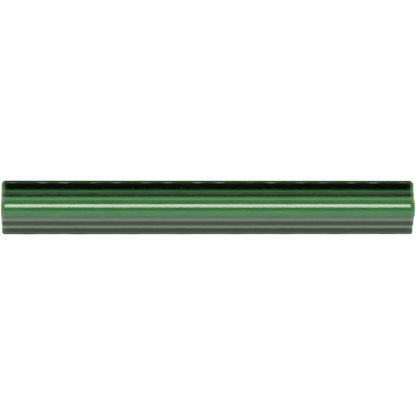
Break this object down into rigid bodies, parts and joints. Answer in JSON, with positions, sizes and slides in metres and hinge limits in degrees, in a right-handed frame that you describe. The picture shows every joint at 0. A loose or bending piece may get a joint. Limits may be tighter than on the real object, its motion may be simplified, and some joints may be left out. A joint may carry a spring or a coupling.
{
  "type": "astragal moulding tile",
  "caption": "Narrow glazed ceramic moulding tile: a half-round bead on a chamfered shoulder, with low ledges at the joints and a flat keyed back to bed on a wall.",
  "frame": {"origin": "centre of the back, on the plane that beds against the wall", "axes": "+X along the tile, +Y across it towards the edge that is uppermost in the picture, +Z from the back to the face"},
  "size_m": [0.152, 0.0196, 0.009],
  "materials": {
    "green_glaze": "gloss translucent green glaze, nearly black where it pools on the fillets and ledges, on a fired clay body that is bare on the back"
  },
  "bodies": {
    "root": {"astragal_tile": "green_glaze"}
  },
  "joints": []
}
